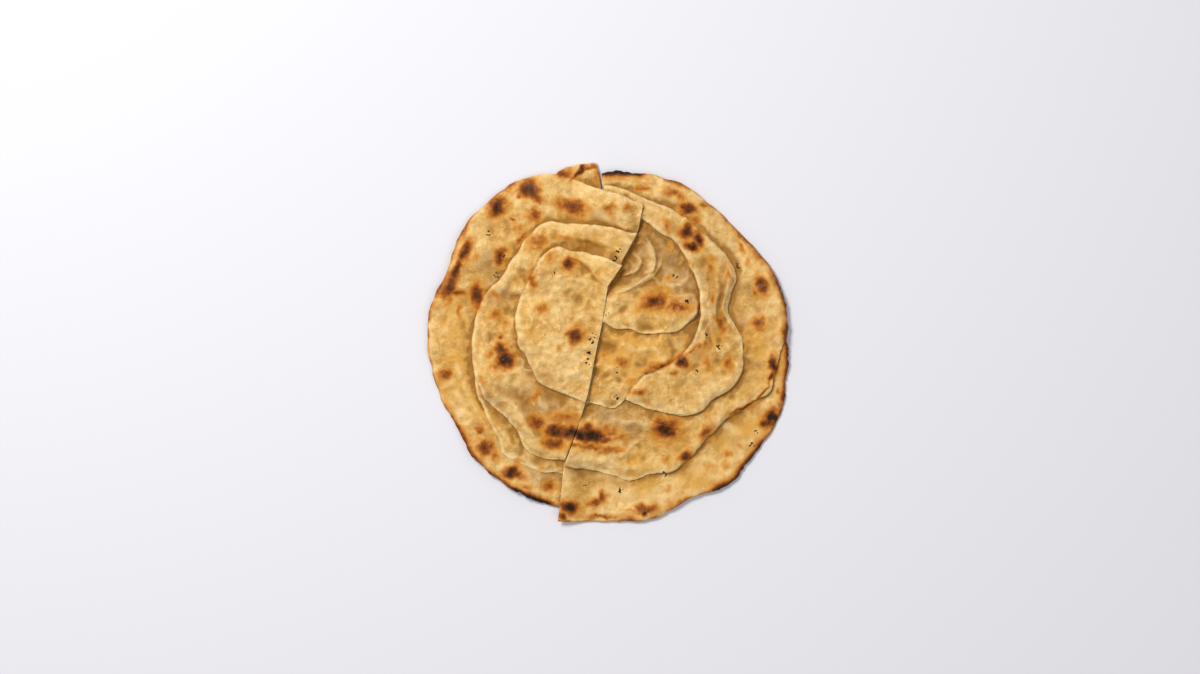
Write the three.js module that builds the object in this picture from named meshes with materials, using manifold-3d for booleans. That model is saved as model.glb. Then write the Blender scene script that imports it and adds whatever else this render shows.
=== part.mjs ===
// Lachha paratha: a round, flaky flatbread of coiled dough sheets, cut across the middle into two halves.
// The halves lie together as one round. At the back, the loose outer sheet of the left half laps over the
// right half. Millimetres, +Z up. The origin is on the table, under the middle of the round; +Y is the back.
//
// Each half is one solid with nested layers. Every layer ends in a lip: a curve that starts and ends on the
// knife cut. The sheet steps down at its lip onto the next sheet out, and the last lip is the rim. Under the
// layers the half is flat and stands on the table, and its rim curls up a little.
import * as THREE from "three";
import { mergeVertices } from "three/addons/utils/BufferGeometryUtils.js";
import Module from "manifold-3d";

const LIP = { reach: 1.2, drop: 1.9 }; // how far a lip slopes out in plan, and down, to the next sheet
const STEPS = 56; // steps along every lip, from one end of the cut to the other
const CURL = { lowest: 0.3, highest: 2.1, waves: 5 }; // how high the underside lifts along the rim
// The lapping sheet's underside, and where it lifts off the table to get there: between two distances from
// the cut, and between two places along Y.
const LAP = { height: 6.6, liftFrom: -26, liftTo: -9, frontFrom: 24, frontTo: 32 };
const CRUST = { color: 0xe0b070, roughness: 0.6, metalness: 0 };

// The knife cut, from the back to the front, as the right half shows it.
const RIGHT_CUT = [
  [-3, 93], [-2, 73], [0, 51], [0, 31], [-3, 11], [-6, -3],
  [-11, -29], [-19, -53], [-24, -66], [-26, -85], [-27, -97.5],
];

// Layers from the middle of the round outwards. lip: plan points, clockwise seen from above. heights: the
// top of the sheet along its lip, evenly spaced. The first layer of each half is its top sheet's cut edge.
const CUT_EDGE_LEFT = {
  lip: [[-12, -32], [-10, -17], [-6.5, -3], [-3.5, 11], [0, 31], [7, 43]],
  heights: [12.6, 13.4, 12.4, 11.2],
};
const TOP_FLAP = {
  lip: [[-12.5, -34], [-27, -29], [-42, -17], [-50, 10], [-42, 38], [-24, 54], [-4, 48], [8, 45]],
  heights: [11.8, 12.4, 13, 12.4, 12, 11.4],
};
const LEFT_COIL = {
  lip: [
    [-24.5, -65], [-41, -59], [-51, -43], [-66, -29], [-75, 0],
    [-69, 22], [-52, 44], [-36, 64], [-6, 66], [13, 54],
  ],
  heights: [8.2, 9, 8.8, 9.2, 10, 11],
};
const LEFT_RIM = {
  lip: [
    [-27.5, -90], [-36, -88], [-54, -79], [-71, -66], [-86, -41], [-96, -17], [-99.2, 4], [-94, 27],
    [-83, 56], [-66, 77], [-49, 89], [-32, 93], [-16, 89], [-3, 84], [20, 75],
  ],
  heights: [5, 4.4, 4.4, 5.4, 8.2, 10],
};
const CUT_EDGE_RIGHT = {
  lip: [[-0.5, 26], [-3, 11], [-6, -3], [-11, -29]],
  heights: [6, 9.8, 11, 10.4],
};
const TOP_SHEET = {
  lip: [[0, 34], [24, 62], [45, 46], [52, 24], [46, 2], [26, -23], [2, -37], [-13, -36]],
  heights: [6, 6, 7.8, 10.6, 11, 10.4],
};
const MIDDLE_COIL = {
  lip: [
    [-1, 84], [20, 79], [41, 69], [61, 52], [67, 26],
    [74, 0], [66, -27], [42, -40], [8, -48], [-17, -49],
  ],
  heights: [5.8, 6, 8.4, 9.2, 8.8, 9],
};
const OUTER_COIL = {
  lip: [
    [-2.5, 89], [30, 84], [62, 64], [83, 40], [91, 8],
    [87, -29], [59, -48], [33, -71], [9, -76], [-24, -67.5],
  ],
  heights: [4.6, 5.2, 5.6, 6.2, 7, 8],
};
const RIGHT_RIM = {
  lip: [
    [-3, 94], [26, 92], [49, 82], [73, 60], [91, 38], [98, 18], [99.2, -2],
    [97, -32], [83, -58], [69, -76], [46, -86], [25, -96], [3, -98.8], [-27, -98],
  ],
  heights: [4, 4, 4.2, 4.4, 4.6, 6.4],
};
const LEFT_LAYERS = [CUT_EDGE_LEFT, TOP_FLAP, LEFT_COIL, LEFT_RIM];
const RIGHT_LAYERS = [CUT_EDGE_RIGHT, TOP_SHEET, MIDDLE_COIL, OUTER_COIL, RIGHT_RIM];

// The corner of the left half's lowest sheet, which shows behind the lapping sheet.
const BACK_CORNER = {
  outline: [[-36, 88], [-22, 96], [-9, 98.8], [-4.4, 86], [-6, 74], [-30, 76]],
  height: 2.6,
};

/** A smooth open curve in plan through the given points. */
function planCurve(points) {
  const corners = points.map(([x, y]) => new THREE.Vector3(x, y, 0));
  return new THREE.CatmullRomCurve3(corners, false, "centripetal");
}

/** The value at u, from 0 to 1, of a smooth curve through evenly spaced values. */
function along(values, u) {
  const curve = new THREE.SplineCurve(values.map((value, i) => new THREE.Vector2(i, value)));
  return curve.getPoint(u).y;
}

/** The x of the right half's cut at this y. */
function cutAt(y) {
  const next = Math.max(1, RIGHT_CUT.findIndex((point) => point[1] <= y));
  const [x0, y0] = RIGHT_CUT[next - 1];
  const [x1, y1] = RIGHT_CUT[next];
  return THREE.MathUtils.mapLinear(y, y0, y1, x0, x1);
}

/** How high the rim's underside lifts off the table, in waves round the bread. */
function curlAt(x, y) {
  const wave = 0.5 + 0.5 * Math.sin(CURL.waves * Math.atan2(y, x) + 1);
  return THREE.MathUtils.lerp(CURL.lowest, CURL.highest, wave);
}

/** The left half stands on the table, except where its outer sheet laps over the right half. */
function leftUnderside(x, y) {
  const overCut = THREE.MathUtils.smoothstep(x - cutAt(y), LAP.liftFrom, LAP.liftTo);
  return LAP.height * overCut * THREE.MathUtils.smoothstep(y, LAP.frontFrom, LAP.frontTo);
}

/** The right half stands on the table all over. */
function rightUnderside() {
  return 0;
}

/** The points of a layer's lip, evenly spaced along it, at the height of the sheet's top. */
function lipPoints({ lip, heights }) {
  const curve = planCurve(lip);
  return Array.from({ length: STEPS + 1 }, (_, i) => {
    const point = curve.getPointAt(i / STEPS);
    return point.setZ(along(heights, i / STEPS));
  });
}

/** Rows of points over the top of a half: every lip, and the foot that each inner lip steps down to. */
function topRows(layers) {
  const lips = layers.map(lipPoints);
  const rows = [lips[0]];
  for (let k = 1; k < lips.length - 1; k++) {
    const foot = lips[k].map((point, i) => {
      const outwards = lips[k + 1][i].clone().sub(point).setZ(0).setLength(LIP.reach);
      return point.clone().add(outwards).setZ(point.z - LIP.drop);
    });
    rows.push(lips[k], foot);
  }
  return [...rows, lips.at(-1)];
}

/** The same rows on the underside. The last one is the rim, which curls up. */
function bottomRows(top, undersideAt) {
  return top.map((row) =>
    row.map(({ x, y }) => {
      const curl = row === top.at(-1) ? curlAt(x, y) : 0;
      return new THREE.Vector3(x, y, Math.max(undersideAt(x, y), curl));
    }),
  );
}

/** A closed solid between the rows of its top and its underside. */
function layeredSolid(layers, undersideAt) {
  const top = topRows(layers);
  const bottom = bottomRows(top, undersideAt);
  const last = top.length - 1;
  const positions = [];
  const quad = (a, b, c, d) => {
    positions.push(...a, ...b, ...c, ...a, ...c, ...d);
  };
  for (let k = 0; k < last; k++) {
    for (let i = 0; i < STEPS; i++) {
      quad(top[k][i], top[k][i + 1], top[k + 1][i + 1], top[k + 1][i]);
      quad(bottom[k][i], bottom[k + 1][i], bottom[k + 1][i + 1], bottom[k][i + 1]);
    }
    quad(top[k][0], top[k + 1][0], bottom[k + 1][0], bottom[k][0]);
    quad(top[k][STEPS], bottom[k][STEPS], bottom[k + 1][STEPS], top[k + 1][STEPS]);
  }
  for (let i = 0; i < STEPS; i++) {
    quad(top[0][i], bottom[0][i], bottom[0][i + 1], top[0][i + 1]);
    quad(top[last][i], top[last][i + 1], bottom[last][i + 1], bottom[last][i]);
  }
  const geometry = new THREE.BufferGeometry();
  return geometry.setAttribute("position", new THREE.Float32BufferAttribute(positions, 3));
}

/** A flat plate with the given plan outline, standing on the table. */
function plate({ outline, height }) {
  const shape = new THREE.Shape(outline.map(([x, y]) => new THREE.Vector2(x, y)));
  return new THREE.ExtrudeGeometry(shape, { depth: height, bevelEnabled: false });
}

const wasm = await Module();
wasm.setup();

/** A closed three.js geometry as a manifold-3d solid. */
function toSolid(geometry) {
  const bare = new THREE.BufferGeometry().setAttribute("position", geometry.getAttribute("position"));
  const merged = mergeVertices(bare, 1e-4);
  const mesh = new wasm.Mesh({
    numProp: 3,
    vertProperties: new Float32Array(merged.getAttribute("position").array),
    triVerts: new Uint32Array(merged.index.array),
  });
  return new wasm.Manifold(mesh);
}

/** A manifold-3d solid as a three.js geometry. */
function toGeometry(solid) {
  const { vertProperties, triVerts } = solid.getMesh();
  const geometry = new THREE.BufferGeometry();
  geometry.setAttribute("position", new THREE.BufferAttribute(vertProperties, 3));
  return geometry.setIndex(new THREE.BufferAttribute(triVerts, 1));
}

/** The left half's layers, joined with the corner that shows behind them. */
function leftHalf() {
  const layers = toSolid(layeredSolid(LEFT_LAYERS, leftUnderside));
  return toGeometry(layers.add(toSolid(plate(BACK_CORNER))));
}

/** The right half's layers. */
function rightHalf() {
  return layeredSolid(RIGHT_LAYERS, rightUnderside);
}

/** A named half, faceted and the colour of baked dough. */
function bakedMesh(name, geometry) {
  const material = new THREE.MeshStandardMaterial({ ...CRUST, flatShading: true });
  const mesh = new THREE.Mesh(geometry, material);
  mesh.name = name;
  return mesh;
}

const paratha = new THREE.Group();
paratha.name = "paratha";
paratha.add(bakedMesh("left_half", leftHalf()));
paratha.add(bakedMesh("right_half", rightHalf()));

export default paratha;
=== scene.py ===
"""Lachha paratha: a flaky flatbread of coiled dough sheets, cut in two, its halves lying together.

Each half is a stack of thin sheets. Every sheet is draped over what lies under it, on a height grid, and is
then meshed as a closed skin with rounded lips. Lengths are in millimetres until a mesh is made. +Z is up,
the origin is on the table under the middle of the round, and +Y is the back end of the knife cut.
"""
import math

import bpy
import numpy as np
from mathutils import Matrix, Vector
from mathutils.geometry import delaunay_2d_cdt
from mathutils.kdtree import KDTree


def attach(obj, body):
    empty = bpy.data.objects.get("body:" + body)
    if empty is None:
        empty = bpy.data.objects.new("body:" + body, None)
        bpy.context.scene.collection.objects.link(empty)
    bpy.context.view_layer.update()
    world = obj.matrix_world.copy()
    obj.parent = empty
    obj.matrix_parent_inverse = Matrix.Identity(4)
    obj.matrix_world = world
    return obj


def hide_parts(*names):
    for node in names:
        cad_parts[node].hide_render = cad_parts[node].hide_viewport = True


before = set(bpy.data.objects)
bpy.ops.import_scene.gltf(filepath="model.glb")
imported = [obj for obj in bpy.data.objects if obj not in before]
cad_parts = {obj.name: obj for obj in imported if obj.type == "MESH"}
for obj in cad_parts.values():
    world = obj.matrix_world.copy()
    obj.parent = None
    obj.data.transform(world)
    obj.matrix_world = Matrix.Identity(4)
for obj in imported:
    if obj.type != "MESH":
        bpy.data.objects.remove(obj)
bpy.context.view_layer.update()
MM = 0.001
# The height grid, and the meshes made from it.
GRID_CELL = 0.5
GRID_HALF = 106.0
FINE, COARSE = 0.58, 2.6  # spacing of a sheet's vertices where it shows, and where another sheet covers it
EDGE_STEP = 0.62  # spacing of the vertices along a sheet's edge
LIP_ROWS, UNDER_ROWS = (0.14, 0.42, 0.9), (0.3, 0.9)  # rows of vertices along an edge, above and below it
UNDER = 1.3  # spacing of the vertices on a lowest sheet's underside
SLIVER = 1e-3  # a triangle with less than half this area is left out
# The sheets.
CUT_ROUND = 0.15  # radius of the knife cut's edges
LIP_ROUND = 0.55  # how far in a lip is round, for each millimetre of the sheet's thickness
LIP_CREST = 3.2  # how far in from its edge a rolled lip is highest
RAGGED = {"rim": 0.3, "lip": 0.4, "hidden": 0.0}  # how far a torn or rolled edge wanders
CHAR_RAGGED = 0.22  # how far a charred edge wanders more
CUT_GAP = 0.12  # between the two halves
LAP_FRONT = 28.0  # from here back, the left half's outer sheet lies over the right half
DRAPE_SLOPE, DRAPE_REACH = 0.35, 14.0  # how steeply a sheet falls from what it lies on, and how far out
CUT_RISE, CUT_RISE_REACH = 3.6, 16.0  # the right half's cut edge stands this much higher at the front
RIM_CURL, RIM_CURL_REACH = (0.2, 1.7), 15.0  # how high the rim curls off the table, at least and at most
FAR = 40.0  # a distance that isn't measured is taken as this
# The colours, and the places of the sheets' pictures in the UV square.
SHOWN, UNDERSIDE, HIDDEN = range(3)
ISLANDS = np.array([  # left and bottom in the UV square, and its size for each millimetre, twice
    (0.005, 0.005, 0.0049, 0.0049), (0.64, 0.005, 0.0027, 0.0027), (0.64, 0.56, 0.0021, 0.0021),
])
DOUGH = [(0.38, "#b8823f", 1), (0.46, "#cb974b", 1), (0.54, "#dcae62", 1), (0.63, "#ecc886", 1)]
GREY_BROWN_COLOUR, YELLOW_COLOUR, PALE_COLOUR = "#a98153", "#d89d3c", "#f0cd8c"
# The hollow colour is painted shade, for the hollows and the foot of each lip.
# The lip colour is a painted highlight along rolled lips, and the real pale crumb along the knife cut.
HOLLOW_SHADE_COLOUR, LIP_HIGHLIGHT_AND_CRUMB_COLOUR, DOT_COLOUR, CRUMB_COLOUR = "#98651f", "#f2d69c", "#a5662c", "#17100c"
GLINT_COLOUR, FLOOR_COLOUR, SKY_COLOUR = "#ffe2bc", "#e6e4e8", "#f4f6fa"
TOAST = [(0.06, "#dda03c", 0), (0.22, "#d38f30", 0.6), (0.42, "#bc701f", 0.92), (0.62, "#914b12", 1),
         (0.84, "#5a2a0b", 1), (1.0, "#21120a", 1)]
BLISTER = 0.4  # how much a fully toasted spot stands up
FRECKLE = 0.24  # how brown the freckles are
RIM_TOAST, SCORCH = 0.78, 0.66  # how brown the rim is, and beside its char
# How far these reach in from the rim: at least, and how much further in the patches.
RIM_REACH, SCORCH_REACH, CHAR_REACH = (0.5, 3.4), (3.2, 3.2), (1.7, 2.4)
LENS, SENSOR = 85.0, 36.0
VIEW_WIDTH = 660.0  # how much of the floor the picture shows from side to side
VIEW_CENTRE = (-4.3, 3.2)
# Softboxes: name, place and size in metres, and power in watts.
LIGHTS = [("key_light", (-0.6, 0.65, 1.2), 0.45, 17), ("fill_light", (0.7, -0.5, 1.4), 0.9, 4)]
SKY_STRENGTH = 0.4
FLOOR_HALF, FLOOR_HEIGHT = 4000.0, -0.05

# ---- outlines, in plan

LEFT_RIM = [
    (-27, -90), (-36, -88), (-46, -84), (-54, -79), (-63, -73), (-71, -66), (-78, -56), (-81, -49),
    (-86, -41), (-92, -30), (-96, -17), (-98, -5), (-99, 7), (-98, 17), (-94, 27), (-90, 36), (-86, 47),
    (-83, 56), (-79, 63), (-74, 70), (-66, 77), (-58, 84), (-49, 89), (-40, 92), (-32, 93), (-24, 92),
    (-16, 89), (-10, 86), (-3, 84), (6, 81), (19.5, 76),
]
LAP_CUT = [(19.5, 76), (16, 60), (12.5, 53), (8, 45), (5, 38), (0.12, 31)]
FLAP_CUT = [(0.12, 31), (-2.88, 11), (-6.08, -3.5), (-11.08, -29)]
FRONT_CUT = [(-18.78, -53), (-23.78, -66), (-25.9, -85), (-26.3, -90)]
BACK_CORNER = [(-32, 90), (-25, 95), (-20, 96.8), (-15, 98), (-10, 98.7), (-6.3, 98.9)]
RIGHT_CUT = [(-27.5, -98), (-26, -85), (-23.7, -66), (-18.7, -53), (-11, -29), (-6, -3.5), (-2.8, 11),
             (0.2, 31), (0, 51), (-2, 73), (-3.5, 93)]
RIGHT_RIM_BACK = [
    (-3.5, 93), (6, 94), (15, 93), (26, 92), (32, 90), (41, 87), (49, 82), (58, 75), (65, 68), (73, 60),
    (80, 53), (86, 46), (91, 39), (95, 30), (98, 20), (99, 11), (98, 2),
]
RIGHT_RIM_FRONT = [
    (96.5, 6), (99, -2), (99, -10), (98, -23), (97, -32), (95, -39), (89, -50), (83, -58), (74, -70),
    (69, -76), (59, -81), (46, -85), (37, -91), (25, -97), (16, -98), (3, -98), (-9, -98.5), (-18, -98),
    (-27.5, -98),
]
LEFT_COIL_LIP = [
    (-23.4, -64.6), (-32.5, -63.9), (-41, -60.8), (-47.9, -53.8), (-50.2, -47.7), (-54.9, -41.5),
    (-64.9, -33.8), (-71, -24), (-74, -12), (-75, 0), (-74, 8), (-71, 20), (-65, 29), (-59, 35),
    (-53, 44), (-48, 54), (-42.5, 60), (-36, 65), (-27, 66.3), (-14, 65.5), (0, 64), (8, 61.5), (16, 60),
]
FOLD_LIP = [(-24.7, -72), (-37, -70), (-50, -66), (-57, -62), (-59, -57), (-60, -51), (-65, -44),
            (-69, -35), (-72.5, -27), (-73, -18)]
FLAP_LIP = [
    (-12.5, -33), (-17, -31), (-24.4, -28.7), (-29.4, -26), (-37, -22), (-40, -17), (-45, -7.5),
    (-49.5, 1), (-51, 12), (-49.5, 24), (-45, 31.6), (-40, 41), (-34, 50), (-26.3, 53.5), (-20.5, 50),
    (-15.5, 50.3), (-6.3, 47.6), (1, 45), (8, 42.5),
]
OUTER_COIL_LIP = [
    (98, 2), (95, -3), (93, -10.6), (91, -22.2), (87.5, -29.1), (80.6, -32.2), (73, -36.8), (66.7, -41.5),
    (61.3, -45.3), (53.6, -53.8), (46, -62.3), (37.4, -69.3), (26.6, -71.6), (11, -75.4), (3.4, -73.1),
    (-4.3, -70.8), (-15, -69), (-24.2, -67.5),
]
RING_LIP = [
    (-2.4, 86.5), (5.7, 84.8), (12.7, 82.5), (22.7, 77.9), (30.4, 74.8), (38.2, 70.9), (45.1, 66.3),
    (52.8, 60.1), (59, 54), (65, 48), (69.6, 40.8), (70.4, 34), (67, 25), (66, 19), (68.5, 13), (72, 6),
    (74, -3), (74, -12), (72.5, -19), (65.2, -27.6), (57.4, -30.7), (49.7, -38.4), (42, -40.7),
    (34, -39.8), (26.6, -38), (17, -34), (9.6, -31),
]
RING_INNER = [
    (9.6, -31), (14, -22.9), (21.5, -17.6), (30.6, -13), (38.1, -8.5), (45.7, -0.2), (49.4, 7.3),
    (50.9, 16.4), (50.2, 23.9), (48.7, 31.5), (45.7, 40.5), (41.1, 49.6), (35.1, 55.6), (27.5, 60.9),
    (20.8, 66.2), (9, 71), (-2, 73.5),
]
SUNKEN_LIP = [
    (-2.8, 11.5), (4, 8), (11, 8), (16, 6), (23, 5), (34, 5), (40, 7), (44, 10), (48, 14), (51, 21),
    (54, 27),
]
SUNKEN_HIDDEN = [(54, 27), (54, 38), (47, 51), (40, 58), (31, 64.5), (22, 70), (9, 75), (-2.1, 76.5)]
CENTRE_LIP = [(-12, -33.5), (-8, -33), (-4.3, -33.8), (2.7, -36.1), (8, -33), (13, -28)]
CENTRE_HIDDEN = [(13, -28), (24, -22), (38, -16), (48, -8), (56, 2), (58, 12), (52, 20), (30, 22), (10, 24),
                 (0.1, 28)]
FOLD_HIDDEN = [(-73, -18), (-66, -14), (-58, -26), (-46, -38), (-38, -52), (-21.8, -58)]

# Folds: the ridge's points, its height, and how far it reaches on its left and on its right.
OUTER_COIL_FOLDS = [
    ([(-22, -54), (-12, -56), (-3, -58), (6, -60), (14, -60)], 1.6, 0.9, 5),
    ([(-24, -62), (-12, -64), (2, -66), (12, -69), (26, -66)], 1.2, 2.4, 2.4),
    ([(84, -30), (74, -38), (62, -47), (52, -57), (42, -63)], 1.5, 2.4, 5),
    ([(18, -40), (26, -44), (34, -46), (42, -46), (48, -43)], 1.5, 1.0, 4),
    ([(-2, -40), (8, -43), (20, -44), (30, -52)], 1.1, 1.4, 2.6),
    ([(2, -64), (8, -62), (14, -56), (22, -52)], 0.9, 2, 0.9),
    ([(84, 48), (88, 34), (88, 18), (86, 4), (86, -12)], 0.9, 3, 5),
    ([(20, 87), (36, 80), (52, 70), (66, 57), (78, 44)], 0.8, 4, 3),
]
CENTRE_FOLDS = [
    ([(-4, -28), (6, -26), (16, -18), (28, -12), (38, -4)], 1.3, 4, 2.4),
    ([(-2, 2), (10, 0), (22, -4), (34, 0)], 0.9, 5, 2.5),
    ([(10, -26), (16, -22), (24, -18), (30, -14)], 0.7, 1.6, 1.2),
    ([(-7, -12), (2, -16), (10, -12)], 0.6, 3, 2),
]
SUNKEN_FOLDS = [
    ([(17, 62), (21, 58), (25, 51), (26, 45), (24, 39), (17, 37)], 2.0, 0.7, 4),
    ([(30, 51), (29, 43), (24, 36), (15, 31), (5, 27.5), (0, 26.5)], 1.5, 0.8, 2.5),
    ([(14, 49), (18.5, 44.5), (16, 39.5), (9.6, 37), (5, 38)], 1.6, 0.6, 2.5),
    ([(9, 47), (13.5, 44), (13, 39.5)], 1.1, 0.5, 1.6),
    ([(20, 46), (23, 44), (24, 40)], 0.9, 0.6, 1.2),
    ([(10, 56), (14, 54), (20, 55)], 1.1, 2, 0.6),
    ([(30, 30), (40, 32), (46, 38)], 0.8, 2.5, 1.5),
    ([(6, 16), (18, 14), (30, 14), (42, 18)], 0.9, 3, 4),
    ([(42, 10), (47, 14), (49, 20), (46, 26)], 1.3, 1.0, 2.2),
    ([(18, 59), (20, 54.5), (23.5, 50.5), (26, 45), (24.2, 40), (16.5, 37.5)], 0.8, 0.55, 0.55),
    ([(12.9, 45), (14.7, 43.3), (12.9, 39.8), (10.5, 37.4), (6.3, 37.4)], 0.9, 0.5, 0.6),
    ([(26, 40.4), (21, 35.6), (16, 32), (10, 28.4), (4, 26.6)], 0.6, 0.5, 0.7),
    ([(28, 47), (24, 38), (18, 33.5), (11, 31)], 0.5, 0.5, 0.5),
    ([(41, 48.7), (40.3, 44), (37.9, 41.6)], 0.6, 0.8, 0.8),
    ([(46, 44), (44, 38), (45, 33)], 0.5, 0.6, 0.9),
    ([(32, 22), (38, 25.5), (44, 26.6), (50, 26)], 0.8, 0.8, 1.6),
    ([(16, 44), (18, 41.5), (21, 41), (22, 44)], 0.6, 0.5, 0.5),
]
RING_FOLDS = [
    ([(65, 46), (66.5, 38), (64.5, 28), (62.8, 18.5), (66, 12.5), (70, 7)], 2.0, 2.0, 0.6),
    ([(58, 40), (61, 30), (59, 20), (60, 10), (63, 4)], 1.1, 0.8, 2),
    ([(53, 30), (56, 18), (57, 6), (60, -4), (66, -14)], 1.2, 3, 1.2),
    ([(38, -8), (46, -3), (52, 4), (56, 12)], 1.0, 1.0, 3),
    ([(20, -32), (32, -30), (46, -30), (58, -24), (68, -16)], 1.0, 6, 4),
    ([(44, -16), (50, -20), (58, -20)], 0.7, 2, 2.5),
    ([(14, 78), (24, 73), (36, 66), (46, 57), (54, 48)], 0.7, 3, 2),
    ([(56, 44), (54, 36), (55, 28), (53, 20)], 0.6, 0.6, 1.6),
    ([(48, 2), (54, 8), (57, 16)], 0.6, 0.6, 1.2),
    ([(30, -24), (40, -20), (50, -14), (60, -12)], 0.5, 0.7, 2),
]
OUTER_FOLDS = [
    ([(-6, 70), (2, 66), (10, 63), (15, 62)], 0.7, 1, 3),
    ([(-92, 10), (-88, -10), (-82, -30), (-70, -48)], 1.0, 6, 6),
    ([(-56, 62), (-66, 52), (-76, 36), (-80, 20)], 0.9, 4, 5),
    ([(-84, -4), (-80, -20), (-74, -34), (-67, -46), (-60, -58)], 1.2, 3.5, 1.6),
    ([(-50, 78), (-36, 82), (-20, 78), (-6, 76)], 0.6, 4, 4),
]
INNER_FOLDS = [
    ([(-57.5, -46), (-54.5, -49), (-53.5, -55), (-49.5, -58.5)], 0.9, 0.6, 0.9),
    ([(-64, -42), (-58.5, -49), (-56.5, -56), (-52, -63)], 0.7, 1.4, 0.7),
]
COIL_FOLDS = [
    ([(-70, -14), (-66, -22), (-59, -29), (-51, -34.5), (-46, -41), (-42.5, -48), (-38, -54.5),
      (-31, -59.5), (-25, -62.5), (-21, -63)], 2.3, 1.8, 3.2),
    ([(-30, 54), (-24.8, 56.2), (-18.6, 58), (-10.9, 57), (-3.2, 54.4), (6.1, 51.4), (12, 51)],
     1.4, 5, 1.4),
    ([(-51, 48), (-58, 34), (-62, 20), (-64, 6)], 1.0, 3, 2),
    ([(-52, -12), (-46, -22), (-38, -30), (-28, -37)], 0.9, 2.4, 3.4),
    ([(-66, -8), (-60, -16), (-50, -18)], 0.7, 2, 3),
]
FLAP_FOLDS = [
    ([(-24, 49), (-17, 46), (-11, 42), (-7, 36.5), (-3, 32.5), (1, 30)], 1.5, 6, 0.6),
    ([(-44, 22), (-38, 6), (-30, -10), (-22, -20)], 0.8, 6, 7),
    ([(-26, 34), (-18, 35), (-10, 34), (-4, 31)], 0.9, 0.6, 3),
]

# ---- browning

# Toasted spots: x, y, half width, half height, turn in degrees, strength.
LEFT_SPOTS = [
    (-42, 84, 5.3, 4.5, -35, 0.95), (-38, 79, 3.8, 2.3, -20, 0.75), (-48, 81, 1.9, 1.5, 0, 0.6),
    (-61, 75, 4.1, 5, 0, 0.95), (-20, 75, 7.2, 3.4, -15, 0.75), (-25, 76, 3, 2.6, 0, 0.6),
    (-40, 70, 3.8, 3.4, 0, 0.62), (-52, 67, 1.7, 0.8, -20, 0.7), (-49, 63, 2, 1.8, 0, 0.45),
    (1, 73, 2.7, 3, -50, 0.5), (13, 74, 1.4, 0.9, 0, 0.5), (-58, 47, 3.2, 4.2, 0, 0.8),
    (-47, 57, 1.5, 4.5, -40, 0.6), (-78, 50, 2.7, 6.4, -20, 0.85), (-83, 40, 2.3, 6, -20, 0.95),
    (-87, 31, 3, 6.8, -15, 0.85), (-83, 27, 4.5, 1.7, 0, 0.7), (-72, 27, 3.3, 5.4, 0, 0.9),
    (-81, 17, 1.5, 3.5, 0, 0.5), (-38, 55, 5.4, 3.5, 10, 0.5), (-23, 59, 4.5, 1.2, 0, 0.45),
    (-32, 47, 2.3, 2.3, 0, 0.42), (-41, 34, 2, 3.5, 0, 0.62), (-21, 44, 3.5, 3.5, -20, 0.85),
    (-62, 27, 1.7, 2.7, 20, 0.45), (-63, 16, 3.5, 2.6, 40, 0.55), (-57, 11, 3, 2.6, 0, 0.42),
    (-59, 3, 1.7, 1.5, 0, 0.7), (-58, -5, 3.3, 4.5, 0, 0.85), (-56, -10, 4.5, 3.8, 20, 1),
    (-64, -6, 2, 2, 0, 0.45), (-62, -13, 2.7, 2.3, 0, 0.45), (-52, -7, 2.3, 1.5, 20, 0.55),
    (-36, 19, 3.2, 3.2, 0, 0.52), (-19, 16, 1.5, 1.8, 0, 0.3), (-18, 4, 3.2, 4.7, -15, 0.85),
    (-26, -3, 1.4, 1.2, 0, 0.35), (-89, -17, 3.2, 2.7, 30, 0.65), (-67, -23, 1.5, 1.4, 0, 0.4),
    (-40, -29, 2.3, 3.8, -20, 0.45), (-70, -47, 2.1, 2.1, 0, 0.6), (-67, -58, 3.9, 3.5, 0, 0.78),
    (-62, -62, 3, 2.7, -40, 0.5), (-53, -72, 5.4, 2.6, 0, 0.9), (-45, -78, 3.5, 1.5, 0, 0.42),
    (-32, -79, 4.2, 2.6, -20, 0.66), (-39, -44, 4.5, 3, -10, 0.7), (-28, -48, 5.3, 3.8, 0, 0.95),
    (-18, -50, 8.3, 3.5, -8, 1.05), (-30, -55, 5.3, 3, 0, 0.75), (-24, -41, 9.1, 3, 0, 0.5),
    (-77, 64, 1.5, 1.5, 0, 0.5), (-40, 89, 2.3, 1.8, 0, 0.5), (-92, -9, 1.1, 2, 0, 0.35),
    (-16, 93.5, 5.5, 1.3, 48, 0.95), (-10, 96.5, 4, 1.2, 10, 0.6), (-7, 91, 1.3, 3, 10, 0.45),
]
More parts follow.
